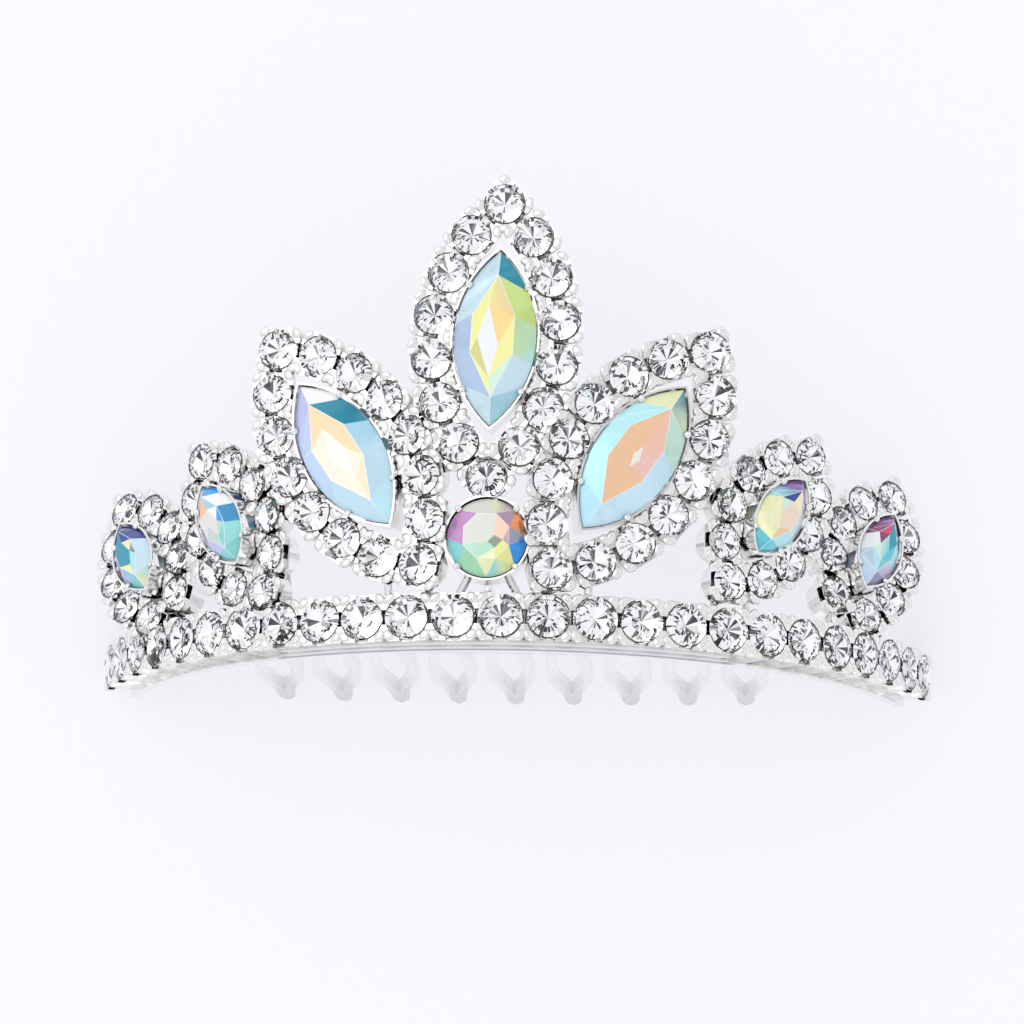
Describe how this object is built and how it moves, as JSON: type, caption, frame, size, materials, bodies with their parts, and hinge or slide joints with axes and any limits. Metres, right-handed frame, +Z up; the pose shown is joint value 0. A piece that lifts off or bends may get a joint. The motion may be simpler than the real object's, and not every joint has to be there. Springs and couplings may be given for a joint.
{
  "type": "rhinestone tiara on a comb",
  "caption": "Small tiara: a curved band of set stones with pointed-oval motifs rising to the middle, on a clear comb with looped teeth, lying on its back.",
  "frame": {"origin": "middle of the bottom of its box, on the surface that it lies on", "axes": "+X along its width to the wearer's left seen from the front, +Y from the comb to the top of the tiara, +Z up from the surface, out of the front of the stones"},
  "size_m": [0.0875, 0.0566, 0.0342],
  "materials": {
    "silver": "polished silver plate",
    "clear_plastic": "clear, smooth",
    "crystal": "clear cut stone with a mirrored back",
    "coated_centre_stone": "cut stone with a rainbow coating",
    "coated_left_stone": "cut stone with a rainbow coating",
    "coated_right_stone": "cut stone with a rainbow coating",
    "coated_round_stone": "cut stone with a rainbow coating",
    "coated_left_medium_stone": "cut stone with a rainbow coating",
    "coated_right_medium_stone": "cut stone with a rainbow coating",
    "coated_left_end_stone": "cut stone with a rainbow coating",
    "coated_right_end_stone": "cut stone with a rainbow coating"
  },
  "bodies": {
    "root": {"frame": "silver", "comb": "clear_plastic", "band_stones": "crystal", "centre_ring_stones": "crystal", "left_ring_stones": "crystal", "right_ring_stones": "crystal", "left_medium_ring_stones": "crystal", "right_medium_ring_stones": "crystal", "left_end_ring_stones": "crystal", "right_end_ring_stones": "crystal", "centre_stone": "coated_centre_stone", "left_stone": "coated_left_stone", "right_stone": "coated_right_stone", "round_stone": "coated_round_stone", "left_medium_stone": "coated_left_medium_stone", "right_medium_stone": "coated_right_medium_stone", "left_end_stone": "coated_left_end_stone", "right_end_stone": "coated_right_end_stone"}
  },
  "joints": []
}
